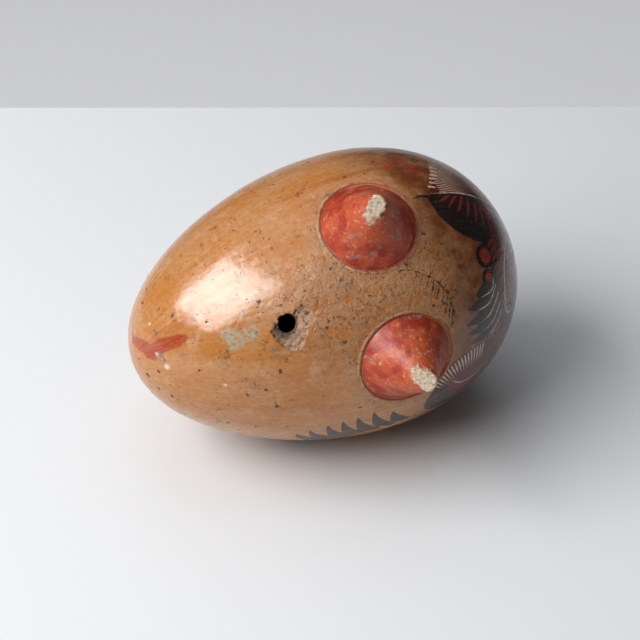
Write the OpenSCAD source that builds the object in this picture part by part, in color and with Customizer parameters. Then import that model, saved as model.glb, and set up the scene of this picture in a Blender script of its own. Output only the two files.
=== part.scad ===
// Egg-shaped clay ocarina with two conical feet, lying on its flank as it comes to rest.
// Millimetres. The floor is z = 0, +X runs from the narrow end towards the blunt end, and the
// belly, with its feet and thumb hole, faces -Y and upwards. The mouthpiece lies flat behind it.
// Each piece of the egg is built standing, belly down, and lay_down() turns it into its rest.

/* [Body] */
// Length of the hollow egg, end to end
egg_len = 160; // [152:1:164]
// Nominal width of the egg, before the blunt end swells it
egg_wid = 111.4; // [106:0.2:114]
// How far the widest section sits towards the blunt end
egg_shift = 0.158; // [0.14:0.001:0.18]
// How much fuller than an ellipse both ends are
egg_full = 0.032; // [0.02:0.001:0.05]
// Thickness of the pressed clay wall
wall = 6; // [5.6:0.1:6.6]
// How far the hollow is set towards the narrow end, so that the blunt end is the heavier
hollow_shift = 0.9; // [0.6:0.1:1.2]

/* [Rest] */
// How far the belly looks up, when the egg lies on its flank
belly_up = 36; // [32:0.5:40]
// How far the long axis rises towards the blunt end
rise = 4.5; // [3.5:0.1:5.5]

/* [Belly hole] */
// Place of the thumb hole along the axis, from mid length
thumb_x = -27; // [-34:0.5:-22]
// Diameter of the thumb hole
thumb_d = 7.4; // [6:0.1:9]
// Diameter of the chipped hollow round the thumb hole
chip_d = 14.5; // [11:0.5:17]
// Depth of that hollow
chip_depth = 1.8; // [1:0.1:2.5]

/* [Finger holes] */
// Diameters of the four finger holes, from the narrow end
finger_d = [6.6, 8.2, 9, 7.4];
// Their places along the axis
finger_x = [-38, -14, 12, 36];
// How far round the egg they lie above the level of its axis, in degrees
finger_up = [2, 9, 9, 2];

/* [Feet] */
// Place of both feet along the axis
foot_x = 13.4; // [6:0.2:18]
// Angle of each foot's root round the egg, from the belly's middle line
foot_turn = 28.4; // [25:0.1:32]
// Angle between each foot's own axis and the belly's direction
foot_splay = 20.1; // [14:0.1:24]
// How far the feet lean towards the narrow end
foot_lean = 2.1; // [0:0.1:8]
// Height of a foot above the egg
foot_h = 24.8; // [22:0.1:28]
// Radius of a foot at its root
foot_root_r = 18.7; // [16:0.1:20]
// Radius of a foot's worn tip
foot_tip_r = 4.2; // [3.5:0.1:6]
// Width of the clay rim luted round a foot's root
rim_wid = 2.2; // [1.5:0.1:3]
// How far a rim stands above the egg
rim_h = 1.1; // [0.8:0.1:1.6]

/* [Mouthpiece] */
// Place of the mouthpiece, from mid length towards the blunt end
mouth_x = 20; // [16:0.5:22]
// Distance of its tip behind the egg's axis
mouth_reach = 76; // [70:1:79]
// Width at the tip and at the root
mouth_wid = [25, 35];
// Height at the tip and where it meets the egg
mouth_h = [13, 27];
// Width of the windway and of the window
windway_wid = 14; // [12:0.5:15]
// Height of the windway
windway_h = 1.8; // [1.4:0.1:2.2]
// Height of the windway's floor above the ground
windway_z = 5; // [4.6:0.1:5.4]
// The window's two edges behind the axis: the lip's edge and the windway's end
window_y = [8, 14];
// Length of the ramp that sharpens the lip
ramp_len = 13; // [10:0.5:16]

/* [Hidden] */

$fn = 48;
steps = 44;          // chords along the egg's outline
big = 200;           // larger than the whole object
eps = 0.01;
coil_depth = 3;      // seam coil, inwards
coil_half = 4.5;     // seam coil, to each side of the seam
foot_sunk = 12;      // how deep a foot starts under the egg's surface, before it is cut to it
flare_start = -5;    // where its concave flank begins, below that surface
flare_power = 1.35;  // how concave the flank is
mouth_corner = 4;    // rounding of the mouthpiece's upper and side corners
floor_edge = 2.5;    // rounding of its lower edge
slab_start = 17;     // where the slabs begin, behind the axis
slab_root = 44;      // how far behind the axis the upper slab reaches its full height
ramp_end_z = 0.7;    // height of the lip ramp's outer end above the ground

// Half outline of the egg: station along the axis and radius, for a turn of 0 to 180 degrees.
function egg_station(a, off) = (egg_len / 2 + off) * cos(a);
function egg_swell(a) = 1 + egg_shift * cos(a) + egg_full * pow(cos(a), 2);
function egg_radius(a, off) = (egg_wid / 2 + off) * sin(a) * egg_swell(a);
function egg_turn(x) = acos(x / (egg_len / 2));
function egg_slope(x) = atan(egg_radius(egg_turn(x + 0.5), 0) - egg_radius(egg_turn(x - 0.5), 0));
function outline(off) = [for (i = [0:steps]) let (a = 180 * i / steps)
    [egg_radius(a, off), egg_station(a, off)]];

// Rest: the egg's lowest point touches the ground, and the origin is under the middle of the box.
lift = max([for (p = outline(0)) p[0] * cos(rise) - p[1] * sin(rise)]);
far_x = max([for (p = outline(0)) p[1] * cos(rise) + p[0] * sin(rise)]);
near_x = min([for (p = outline(0)) p[1] * cos(rise) - p[0] * sin(rise)]);
foot_tip_y = egg_radius(egg_turn(foot_x), 0) * cos(belly_up - foot_turn)
    + (foot_h - foot_tip_r) * cos(belly_up - foot_splay) + foot_tip_r;
mid_x = (far_x + near_x) / 2;
mid_y = (mouth_reach - foot_tip_y) / 2;

module ground_frame() {
    translate([-mid_x, -mid_y, 0])
        children();
}

module lay_down() {
    ground_frame()
        translate([0, 0, lift])
            rotate([0, -rise, 0])
                rotate([-90 - belly_up, 0, 0])
                    children();
}

// The egg as a solid of revolution about X, off millimetres larger all round.
module egg(off) {
    rotate([0, 90, 0])
        rotate_extrude($fn = 96)
            polygon([for (p = outline(off)) [max(p[0], 0), p[1]]]);
}

// The chamber inside, inset further by an extra amount all round.
module hollow(inset) {
    translate([-hollow_shift, 0, 0])
        egg(-wall - inset);
}

// On the egg's surface, at a station and a turn from the belly over the upper flank, +Z outwards.
module on_surface(x, turn) {
    translate([x, 0, 0])
        rotate([180 - turn, 0, 0])
            translate([0, 0, egg_radius(egg_turn(x), 0)])
                rotate([0, -egg_slope(x), 0])
                    children();
}

// The finger holes are all pierced the same way, level and square to the axis.
module finger_holes() {
    ground_frame()
        for (i = [0:3])
            translate([finger_x[i], 0, lift + finger_x[i] * tan(rise)
                + egg_radius(egg_turn(finger_x[i]), 0) * sin(finger_up[i])])
                rotate([-90, 0, 0])
                    cylinder(d = finger_d[i], h = big);
}

// side is -1 for the upper, right foot and 1 for the lower, left foot.
module at_foot(side) {
    translate([foot_x, 0, 0])
        rotate([side * foot_turn, 0, 0])
            translate([0, 0, -egg_radius(egg_turn(foot_x), 0)])
                rotate([side * (foot_splay - foot_turn), 0, 0])
                    rotate([180, foot_lean, 0])
                        children();
}

function flare(t) = foot_tip_r + (foot_root_r - foot_tip_r) * pow(1 - t, flare_power);

module foot_solid() {
    tip_z = foot_h - foot_tip_r;
    rotate_extrude()
        polygon(concat(
            [[0, -foot_sunk], [foot_root_r, -foot_sunk]],
            [for (i = [0:8]) [flare(i / 8), flare_start + (tip_z - flare_start) * i / 8]],
            [for (a = [22.5:22.5:67.5]) [foot_tip_r * cos(a), tip_z + foot_tip_r * sin(a)]],
            [[0, foot_h]]
        ));
}

module foot(side) {
    lay_down()
        difference() {
            at_foot(side) foot_solid();
            egg(0);
        }
}

module foot_rim(side) {
    lay_down()
        difference() {
            intersection() {
                at_foot(side)
                    translate([0, 0, -foot_sunk])
                        cylinder(r = foot_root_r + rim_wid, h = 2 * foot_sunk);
                egg(rim_h);
            }
            egg(0);
            at_foot(side) foot_solid();
        }
}

module windway() {
    ground_frame()
        translate([mouth_x - windway_wid / 2, window_y[0], windway_z])
            cube([windway_wid, big, windway_h]);
}

module window() {
    ground_frame()
        translate([mouth_x - windway_wid / 2, window_y[0], -eps])
            cube([windway_wid, window_y[1] - window_y[0], 2 * wall]);
}

// The lip is cut from the wall by a sloping ramp on the outside.
module ramp() {
    edge = windway_z + windway_h / 2;
    ground_frame()
        translate([mouth_x + windway_wid / 2, window_y[0] + eps, 0])
            rotate([90, 0, -90])
                linear_extrude(windway_wid)
                    polygon([[0, -1], [ramp_len, -1], [ramp_len, ramp_end_z], [0, edge]]);
}

module belly_shell() {
    color("#b9773f")
        lay_down()
            difference() {
                egg(0);
                hollow(0);
                translate([-big / 2, -big / 2, 0]) cube(big);
                on_surface(thumb_x, 0) {
                    translate([0, 0, -2 * wall])
                        cylinder(d = thumb_d, h = 3 * wall);
                    translate([0, 0, -chip_depth])
                        cylinder(d1 = thumb_d, d2 = chip_d * 2 - thumb_d, h = chip_depth * 2);
                }
            }
}

module back_shell() {
    color("#b9773f")
        difference() {
            lay_down()
                difference() {
                    egg(0);
                    hollow(0);
                    translate([-big / 2, -big / 2, -big]) cube(big);
                }
            finger_holes();
            windway();
            window();
            ramp();
        }
}

module seam_coil() {
    color("#a9683a")
        lay_down()
            difference() {
                intersection() {
                    hollow(0);
                    translate([-big / 2, -big / 2, -coil_half]) cube([big, big, 2 * coil_half]);
                }
                hollow(coil_depth);
            }
}

module right_foot() {
    color("#a4472f") foot(-1);
}

module left_foot() {
    color("#a4472f") foot(1);
}

module right_foot_rim() {
    color("#c08a58") foot_rim(-1);
}

module left_foot_rim() {
    color("#c08a58") foot_rim(1);
}

// Plan of the mouthpiece, grown by extra all round: it narrows towards its rounded tip.
module mouth_plan(extra) {
    root = mouth_wid[1] / 2 + extra;
    tip = mouth_wid[0] / 2 + extra;
    reach = mouth_reach + extra;
    corner = [for (a = [0:15:90]) [tip - mouth_corner * (1 - cos(a)), reach - mouth_corner * (1 - sin(a))]];
    translate([mouth_x, 0, -big / 2])
        linear_extrude(big)
            polygon(concat(
                [[-root, 2], [root, 2]],
                corner,
                [for (i = [len(corner) - 1:-1:0]) [-corner[i][0], corner[i][1]]]
            ));
}

// Side outline of the mouthpiece between two heights, drawn out along X.
module mouth_side(points) {
    translate([mouth_x - mouth_wid[1], 0, 0])
        rotate([90, 0, 90])
            linear_extrude(2 * mouth_wid[1])
                polygon(points);
}

module mouthpiece_upper_slab() {
    color("#b9773f")
        difference() {
            ground_frame()
                intersection() {
                    mouth_plan(0);
                    mouth_side(concat(
                        [[slab_start, windway_z], [mouth_reach, windway_z]],
                        [for (a = [0:15:90]) [mouth_reach - mouth_corner * (1 - cos(a)),
                            mouth_h[0] - mouth_corner * (1 - sin(a))]],
                        [[slab_root, mouth_h[1]], [slab_start, mouth_h[1]]]
                    ));
                }
            lay_down() egg(0);
            windway();
        }
}

module mouthpiece_lower_slab() {
    color("#b9773f")
        difference() {
            ground_frame()
                intersection() {
                    mouth_plan(0);
                    mouth_side(concat(
                        [[slab_start, windway_z], [slab_start, 0]],
                        [for (a = [0:15:90]) [mouth_reach - floor_edge * (1 - sin(a)), floor_edge * (1 - cos(a))]],
                        [[mouth_reach, windway_z]]
                    ));
                }
            lay_down() egg(0);
        }
}

// Luting clay round the root of the mouthpiece, on the egg's surface.
module mouthpiece_rim() {
    color("#c08a58")
        difference() {
            intersection() {
                lay_down() egg(rim_h);
                ground_frame() mouth_plan(rim_wid);
                ground_frame()
                    translate([mouth_x - big / 2, slab_start, windway_z])
                        cube([big, big, mouth_h[1] + rim_wid - windway_z]);
            }
            lay_down() egg(0);
            ground_frame()
                intersection() {
                    mouth_plan(0);
                    translate([mouth_x - big / 2, 0, 0]) cube([big, big, mouth_h[1]]);
                }
        }
}

belly_shell();
back_shell();
seam_coil();
right_foot();
left_foot();
right_foot_rim();
left_foot_rim();
mouthpiece_upper_slab();
mouthpiece_lower_slab();
mouthpiece_rim();
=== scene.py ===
# Burnished clay ocarina: a hollow egg lying on its flank, with two conical feet, a chipped
# thumb hole and painted slip round its blunt end. The mouthpiece lies flat behind it.
import math
from functools import partial

import bmesh
import bpy
import numpy as np
from mathutils import Matrix, Vector, noise


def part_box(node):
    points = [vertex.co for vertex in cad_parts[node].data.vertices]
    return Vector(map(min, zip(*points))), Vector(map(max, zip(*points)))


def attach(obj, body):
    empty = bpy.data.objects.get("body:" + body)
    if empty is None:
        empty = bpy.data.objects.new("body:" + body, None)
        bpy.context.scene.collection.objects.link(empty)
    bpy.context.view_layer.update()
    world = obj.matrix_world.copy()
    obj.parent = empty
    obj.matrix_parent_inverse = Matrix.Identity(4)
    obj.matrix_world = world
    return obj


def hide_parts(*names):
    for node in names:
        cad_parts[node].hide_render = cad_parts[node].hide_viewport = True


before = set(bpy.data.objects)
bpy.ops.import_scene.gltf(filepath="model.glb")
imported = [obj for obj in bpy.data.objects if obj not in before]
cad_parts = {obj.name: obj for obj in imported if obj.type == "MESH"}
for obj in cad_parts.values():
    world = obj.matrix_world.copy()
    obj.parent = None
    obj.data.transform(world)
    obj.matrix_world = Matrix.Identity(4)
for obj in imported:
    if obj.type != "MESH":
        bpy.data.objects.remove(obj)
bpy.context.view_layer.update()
mm = 0.001  # metres in a millimetre
print("frame loaded")


# the egg that every piece is placed on, in millimetres
egg = {
    "length": 160.0,
    "width": 111.4,
    "shift": 0.158,  # the widest section sits towards the blunt end
    "fullness": 0.032,  # both ends are fuller than an ellipse
    "wall": 6.0,
    "hollowShift": 0.9,  # the hollow is set towards the narrow end
    "bellyUp": 36.0,
    "rise": 4.5,
    "skin": 0.06,  # the slip's surface lies this far inside the nominal one
}


def eggOutline(turn, inset):
    along = (egg["length"] / 2 - inset) * np.cos(turn)
    swell = 1 + egg["shift"] * np.cos(turn) + egg["fullness"] * np.cos(turn) ** 2
    return along, (egg["width"] / 2 - inset) * np.sin(turn) * swell


def radiusAt(along):
    turn = np.arccos(np.clip(np.asarray(along, float) / (egg["length"] / 2 - egg["skin"]), -1, 1))
    return eggOutline(turn, egg["skin"])[1]


def onEgg(along, around, out=0.0):
    # around is in degrees from the belly's middle line towards the upper flank
    angle, radius = np.radians(around), radiusAt(along) + out
    flat = np.broadcast_arrays(along, -radius * np.sin(angle), -radius * np.cos(angle))
    return np.stack(flat, -1).astype(float)


tilt = np.array(Matrix.Rotation(math.radians(-egg["rise"]), 3, "Y")
                @ Matrix.Rotation(math.radians(-90 - egg["bellyUp"]), 3, "X"))
shellLow = np.minimum(*(np.array(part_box(n)[0]) for n in ("belly_shell", "back_shell"))) / mm
shellHigh = np.maximum(*(np.array(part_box(n)[1]) for n in ("belly_shell", "back_shell"))) / mm
allTurns = np.linspace(0, math.pi, 400)
ringX, ringR = eggOutline(allTurns, 0)
rise = math.radians(egg["rise"])
eggCentre = np.array([
    shellLow[0] - np.min(ringX * math.cos(rise) - ringR * math.sin(rise)),
    (shellLow[1] + shellHigh[1]) / 2,
    shellLow[2] + np.max(ringR * math.cos(rise) - ringX * math.sin(rise)),
])


def toRow(points):
    # from the egg's own axes to the row frame, still in millimetres
    return np.asarray(points) @ tilt.T + eggCentre


def toEgg(points):
    return (np.asarray(points) - eggCentre) @ tilt


# camera
camera = {
    "azimuth": -21.479,
    "elevation": 38.0,
    "distance": 800.0,
    "lens": 112.74,
    "aside": -0.962,
    "lower": -7.628,
}


def makeCamera():
    a, e = math.radians(camera["azimuth"]), math.radians(camera["elevation"])
    back = Vector((math.sin(a) * math.cos(e), -math.cos(a) * math.cos(e), math.sin(e)))
    right = Vector((math.cos(a), math.sin(a), 0))
    up = back.cross(right)
    eye = Vector(eggCentre) + back * camera["distance"]
    target = Vector(eggCentre) + right * camera["aside"] + up * camera["lower"]
    data = bpy.data.cameras.new("camera")
    data.lens = camera["lens"]
    made = bpy.data.objects.new("camera", data)
    bpy.context.scene.collection.objects.link(made)
    made.location = eye * mm
    made.rotation_euler = (target - eye).to_track_quat("-Z", "Y").to_euler()
    bpy.context.scene.camera = made


makeCamera()
bpy.context.scene.view_settings.view_transform = "Standard"


# small tools
def linear(hexColour):
    parts = [int(hexColour[i:i + 2], 16) / 255 for i in (1, 3, 5)]
    return tuple(c / 12.92 if c <= 0.04045 else ((c + 0.055) / 1.055) ** 2.4 for c in parts) + (1.0,)


nodeKinds = {
    # a short name for the kinds that come often: type, sockets that the values fill in turn, settings
    "times": ("ShaderNodeMath", (0, 1), {"operation": "MULTIPLY"}),
    "plus": ("ShaderNodeMath", (0, 1), {"operation": "ADD"}),
    "minus": ("ShaderNodeMath", (0, 1), {"operation": "SUBTRACT"}),
    "most": ("ShaderNodeMath", (0, 1), {"operation": "MAXIMUM"}),
    "over": ("ShaderNodeMix", (0, 6, 7), {"data_type": "RGBA"}),  # amount, colour under, colour on top
    "soften": ("ShaderNodeMapRange", ("Value", "From Min", "From Max", "To Min", "To Max"),
               {"interpolation_type": "SMOOTHSTEP"}),
    "amount": ("ShaderNodeAttribute", (), {"take": "Fac"}),
    "places": ("ShaderNodeAttribute", (), {"take": "Vector"}),
}


def addNode(tree, kind, *values, **settings):
    # a dictionary names the sockets; take is the wanted output, or else the first one in use
    nodeType, sockets, usual = nodeKinds.get(kind, (kind, (), {}))
    inputs = values[0] if values and isinstance(values[0], dict) else dict(zip(sockets, values))
    settings = {**usual, **settings}
    take = settings.pop("take", None)
    made = tree.nodes.new(nodeType)
    for name, value in settings.items():
        setattr(made, name, value)
    for socket, value in inputs.items():
        if isinstance(value, bpy.types.NodeSocket):
            tree.links.new(value, made.inputs[socket])
        else:
            made.inputs[socket].default_value = linear(value) if isinstance(value, str) else value
    return made.outputs[take] if take else next((s for s in made.outputs if s.enabled), None)


def meshPiece(name, points, faces, materials):
    # points are in the egg's axes, in millimetres
    mesh = bpy.data.meshes.new(name)
    mesh.from_pydata((toRow(points) * mm).tolist(), [], faces)
    made = bpy.data.objects.new(name, mesh)
    bpy.context.scene.collection.objects.link(made)
    for material in materials:
        mesh.materials.append(material)
    return made


def tidyMesh(piece, sharpAngle=38.0):
    work = bmesh.new()
    work.from_mesh(piece.data)
    bmesh.ops.remove_doubles(work, verts=work.verts, dist=1e-6)
    bmesh.ops.dissolve_degenerate(work, edges=work.edges, dist=1e-7)
    bmesh.ops.recalc_face_normals(work, faces=work.faces)
    work.to_mesh(piece.data)
    work.free()
    piece.data.shade_smooth()
    piece.data.set_sharp_from_angle(angle=math.radians(sharpAngle))


def eggPoints(piece):
    co = np.zeros(len(piece.data.vertices) * 3)
    piece.data.vertices.foreach_get("co", co)
    return toEgg(co.reshape(-1, 3) / mm)


def stretchGrid(rows, columns, start=0, wrap=False):
    # quads of a grid whose points run along each row in turn
    i, j = np.meshgrid(np.arange(rows - 1), np.arange(columns if wrap else columns - 1), indexing="ij")
    k = (j + 1) % columns
    quads = np.stack([i * columns + j, i * columns + k, (i + 1) * columns + k, (i + 1) * columns + j], -1)
    return (quads.reshape(-1, 4) + start).tolist()


def loft(name, rings, materials, endless=False, sharpAngle=60.0):
    # a closed skin through rings of points; endless joins the last ring to the first
    rows, columns = rings.shape[:2]
    points = rings.reshape(-1, 3)
    faces = stretchGrid(rows, columns, wrap=True)
    last = (rows - 1) * columns
    if endless:
        faces += [(last + j, last + (j + 1) % columns, (j + 1) % columns, j) for j in range(columns)]
    else:
        points = np.concatenate([points, [rings[0].mean(0), rings[-1].mean(0)]])
        for j in range(columns):
            k = (j + 1) % columns
            faces += [(k, j, rows * columns), (last + j, last + k, rows * columns + 1)]
    made = meshPiece(name, points, faces, materials)
    tidyMesh(made, sharpAngle)
    return made


waveRandom = np.random.default_rng(11)
waveWays = waveRandom.normal(size=(14, 3))
waveWays /= np.linalg.norm(waveWays, axis=1)[:, None]
waveLengths = waveRandom.uniform(16, 46, 14)
wavePhases = waveRandom.uniform(0, 2 * math.pi, 14)


def handWaves(points):
    # 0 to 1: the gentle unevenness that a palm and a burnishing stone leave
    phase = points @ waveWays.T * (2 * math.pi / waveLengths) + wavePhases
    return 0.5 + 0.5 * np.clip(np.sin(phase).sum(1) / 5, -1, 1)


def smoothStep(value):
    t = np.clip(value, 0, 1)
    return t * t * (3 - 2 * t)


# painting: every vertex holds how far it lies from the edge of each slip, in millimetres
paintReach = 3.0
layers = ("blackSlip", "brownSlip", "redSlip", "creamSlip", "veinSlip")


def blankPaint(count):
    paint = {name: np.full(count, paintReach) for name in layers}
    paint["fanRay"] = np.full(count, -5.0)
    paint["fanReach"] = np.full(count, 9.0)
    paint["fanStep"] = np.full(count, 2.0)
    paint["fanEdge"] = np.full(count, -2.0)
    paint["fanLine"] = np.full(count, 0.3)
    return paint


def curve(points, widths, fineness=6):
    # a smooth line through the points, with its width at each step
    p = np.array([points[0], *points, points[-1]], float)
    w = np.array([widths[0], *widths, widths[-1]], float)
    line, wide = [], []
    for i in range(1, len(p) - 2):
        for t in np.linspace(0, 1, fineness, endpoint=False):
            basis = np.array([-t + 2 * t**2 - t**3, 2 - 5 * t**2 + 3 * t**3, t + 4 * t**2 - 3 * t**3,
                              -t**2 + t**3]) / 2
            line.append(basis @ p[i - 1:i + 3])
            wide.append(basis @ w[i - 1:i + 3])
    return np.array(line + [p[-2]]), np.array(wide + [w[-2]])


def brush(paint, layer, points, places, widths):
    # a brush stroke over the surface; places are (along, around), widths in millimetres
    line, wide = curve(places, widths)
    line = onEgg(line[:, 0], line[:, 1])
    middle = line.mean(0)
    span = np.linalg.norm(line - middle, axis=1).max() + wide.max() + paintReach
    near = np.flatnonzero(np.linalg.norm(points - middle, axis=1) < span)
    if not len(near):
        return
    best = paint[layer][near]
    for a, b, wa, wb in zip(line[:-1], line[1:], wide[:-1], wide[1:]):
        ab = b - a
        t = np.clip((points[near] - a) @ ab / max(ab @ ab, 1e-9), 0, 1)
        gap = np.linalg.norm(points[near] - a - t[:, None] * ab, axis=1) - (wa + (wb - wa) * t) / 2
        best = np.minimum(best, gap)
    paint[layer][near] = best


def tangentPlane(points, along, around, reach):
    # the points within reach of a place, flattened round it: x along the egg, y round it
    centre = onEgg(along, around)
    ahead = onEgg(along + 0.5, around) - onEgg(along - 0.5, around)
    beside = onEgg(along, around + 0.5) - onEgg(along, around - 0.5)
    ahead /= np.linalg.norm(ahead)
    beside /= np.linalg.norm(beside)
    near = np.flatnonzero(np.linalg.norm(points - centre, axis=1) < reach)
    offset = points[near] - centre
    return near, np.stack([offset @ ahead, offset @ beside], 1), np.linalg.norm(offset, axis=1)


def outlineGap(flat, corners):
    # signed distance to a closed outline in the flat, negative inside
    gap = np.full(len(flat), 1e9)
    inside = np.zeros(len(flat), bool)
    for a, b in zip(corners, np.roll(corners, -1, 0)):
        ab = b - a
        t = np.clip((flat - a) @ ab / max(ab @ ab, 1e-9), 0, 1)
        gap = np.minimum(gap, np.linalg.norm(flat - a - t[:, None] * ab, axis=1))
        level = (a[1] > flat[:, 1]) != (b[1] > flat[:, 1])
        climb = np.where(abs(ab[1]) < 1e-9, 1e-9, ab[1])
        inside ^= level & (flat[:, 0] < ab[0] * (flat[:, 1] - a[1]) / climb + a[0])
    return np.where(inside, -gap, gap)


def fill(paint, layer, points, places):
    # a shape filled with slip, its outline rounded through the places
    places = np.array(places, float)
    closed = np.array([*places, places[0], places[1]])
    line = curve(closed, np.ones(len(closed)), 4)[0][:-4]
    along, around = places.mean(0)
    corners3d = onEgg(line[:, 0], line[:, 1])
    reach = np.linalg.norm(corners3d - onEgg(along, around), axis=1).max() + paintReach
    corners = tangentPlane(corners3d, along, around, 1e9)[1]
    near, flat, _ = tangentPlane(points, along, around, reach)
    paint[layer][near] = np.minimum(paint[layer][near], outlineGap(flat, corners))


def fan(paint, points, place, facing, style):
    # a fan of cream strokes; facing is in degrees from the blunt end towards the upper flank
    spread, radius, strokes, count = (style[k] for k in ("spread", "radius", "strokes", "count"))
    near, flat, away = tangentPlane(points, *place, radius + paintReach)
    turn = np.degrees(np.arctan2(flat[:, 1], flat[:, 0])) - facing
    turn = (turn + 180) % 360 - 180
    ray = (turn + spread) / (2 * spread) * count
    keep = np.abs(turn) < spread + 12
    near, ray, away = near[keep], ray[keep], away[keep]
    paint["fanRay"][near] = ray
    paint["fanReach"][near] = (away - radius + strokes) / strokes
    paint["fanStep"][near] = away * math.radians(2 * spread / count)
    paint["fanEdge"][near] = np.minimum(ray, count - ray)
    paint["fanLine"][near] = style["line"]


# the painted decoration, placed as (mm along the egg from mid length, degrees round it)
bigLeaf = {
    "stem": [(33.7, 35), (37.5, 35.8), (41, 35), (45, 33)],
    "outline": [(40, 35.5), (41, 27.5), (42.5, 23), (44.5, 19.5), (47.5, 15.8), (51.5, 12.3), (55.5, 10),
                (60, 9), (65, 10.5), (69, 15), (71, 24), (70.5, 33), (66, 37), (56, 37), (47, 36.5)],
    "veins": [[(44.5, 32), (47, 33.5), (50, 35.5)], [(47.5, 29), (50, 32), (53, 35.4)],
              [(50.5, 26), (53, 30), (55.5, 35)], [(53.8, 23), (56, 28), (58, 34)],
              [(57, 20), (59, 25.5), (60.5, 32)], [(60, 17.5), (61.5, 23), (62.8, 31)],
              [(63, 16), (64, 22), (65, 30)], [(66, 18), (66.8, 24), (67.3, 30)]],
}
upperFan = {
    "outline": [(50.8, 58), (48.8, 50.5), (46.6, 45.3), (44.3, 41.3), (42.3, 37.3), (47, 36.6), (56, 37.5),
                (65, 38), (71, 40), (74, 52), (73, 68), (66, 78), (58, 78), (53, 68)],
    "tips": [(50.6, 55.5), (49.5, 52), (48.2, 48.9), (47, 46), (45.8, 43.2), (44.2, 40.6)],
    "hem": [(42.6, 37), (48, 37), (56, 37.6), (64, 37.8), (71, 38.5)],
    "heart": (70, 38), "facing": 150, "spread": 32, "radius": 29.5, "strokes": 19, "count": 27, "line": 0.2,
}
dots = [
    {"place": (55.4, 2.6), "size": 9.4, "red": 6.0},
    {"place": (54.4, -7.6), "size": 6.6, "red": 3.8},
]
flames = {
    "tips": [(46.5, -13.3), (41.2, -17.5), (40, -24), (40.2, -28.8), (41, -34)],
    "middles": [(51.5, -12.6), (49.5, -17.6), (48.8, -23.6), (49.6, -28.8), (50.6, -33.6)],
    "roots": [(57.5, -9.5), (58, -13.5), (58.6, -18.6), (59, -23.8), (59.5, -28.8)],
    "width": 5.2,
    "band": [(55.5, 8), (56.5, 1), (57, -8), (57.4, -18), (57.6, -28), (57.8, -37), (62, -40), (64, -32),
             (64.2, -18), (63.6, -4), (62.6, 8), (59, 11)],
}
lowerFan = {
    "outline": [(28.3, -42), (30.5, -39.8), (34, -38), (38.5, -37.3), (43, -37.8), (48, -38.6), (54, -41),
                (58, -46), (57, -58), (50, -66), (42, -69), (34, -64), (30.5, -54)],
    "heart": (40, -68), "facing": 97, "spread": 32, "radius": 27, "strokes": 10, "count": 17, "line": 0.34,
    "hem": [(32, -48.5), (35.5, -54), (40, -57), (45, -57.5), (50, -55)],
    "sprays": [[(31, -46), (34, -51), (38, -55)], [(30.5, -50), (33.5, -56), (37, -60)],
               [(36, -59), (42, -61), (48, -60)], [(34, -62), (40, -65), (47, -64)]],
}
greyLeaf = {
    "outline": [(28.6, -42.8), (25.8, -46), (24.2, -50), (21.8, -54.5), (20.8, -59.5), (23, -66), (29, -71),
                (36, -71), (37, -64), (33.5, -56), (31, -49)],
    "veins": [[(30.5, -50), (27, -54), (25, -59)], [(33, -56), (29, -60), (27, -65)]],
}
garland = {
    "tips": [(7, -55), (-0.9, -51.7), (-7.1, -53.3), (-12.8, -55.2), (-18.4, -57.4), (-24.8, -62),
             (-29.3, -66.4)],
    "ends": [(13.5, -67), (7.8, -69), (2.1, -71), (-3.8, -72.5), (-8.7, -74.2), (-13.5, -76), (-18.5, -78)],
    "width": 5.4,
}
rosette = {
    "petal": [(67.8, 5.5), (67, 0), (64.2, -9), (62.4, -19), (61.6, -29), (63, -36), (66.5, -39)],
    "turns": [0, -47, -94, -141],
}
frond = {
    # a sprig of short strokes between the feet and the flames
    "stem": [(17, 7.5), (22, 6.4), (26.9, 3.3), (31.3, -0.9), (33.8, -6.2), (35.2, -11.8), (35.8, -18.2)],
    "leaves": [(24.6, 5.0), (26.6, 3.5), (28.6, 1.8), (30.4, 0.0), (32.0, -2.2), (33.2, -4.8), (34.2, -7.6),
               (34.8, -10.6), (35.3, -13.8)],
    "width": 0.5,
}
scratches = [
    # thin dark marks of pencil and soot: places and width
    ([(-40.2, 25.4), (-37.5, 29.5), (-34.2, 34), (-33.6, 32.6), (-36, 28.8), (-39, 25.2)], 0.42),
    ([(-37, 22), (-35.6, 24), (-34, 25.2)], 0.35),
    ([(-71.6, 21), (-71.4, 24), (-71.6, 27)], 0.5),
    ([(-64, -83), (-59, -80), (-55, -78), (-51, -76)], 0.6),
    ([(-56.5, 33), (-55.5, 35), (-54.6, 34.4)], 0.4),
    ([(-28.5, 21.5), (-26.4, 22.4), (-24.8, 21.9)], 0.35),
    ([(-13, 71), (-9, 68), (-5.5, 67)], 0.4),
]


def mirrored(places):
    return [(along, 180 - around) for along, around in places]


def turned(places, degrees):
    return [(along, around + degrees) for along, around in places]


def paintFlames(paint, points, way):
    for tip, middle, root in zip(flames["tips"], flames["middles"], flames["roots"]):
        wide = flames["width"]
        brush(paint, "blackSlip", points, way([tip, middle, root]), [0.2, wide, wide * 0.6])
        lower = [(middle[0] - 2.5, middle[1] - 2.6), (middle[0] + 3.5, middle[1] - 1.9),
                 (root[0] - 0.3, root[1] + 0.4)]
        brush(paint, "creamSlip", points, way(lower), [0.3, 0.75, 0.6])
    fill(paint, "blackSlip", points, way(flames["band"]))
    for step in range(11):
        around = 6 - 4.2 * step
        stroke = [(58.6, around), (60.4, around + 2.6), (62.8, around + 3.6)]
        brush(paint, "veinSlip", points, way(stroke), [0.5, 1.5, 1.1])


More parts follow.
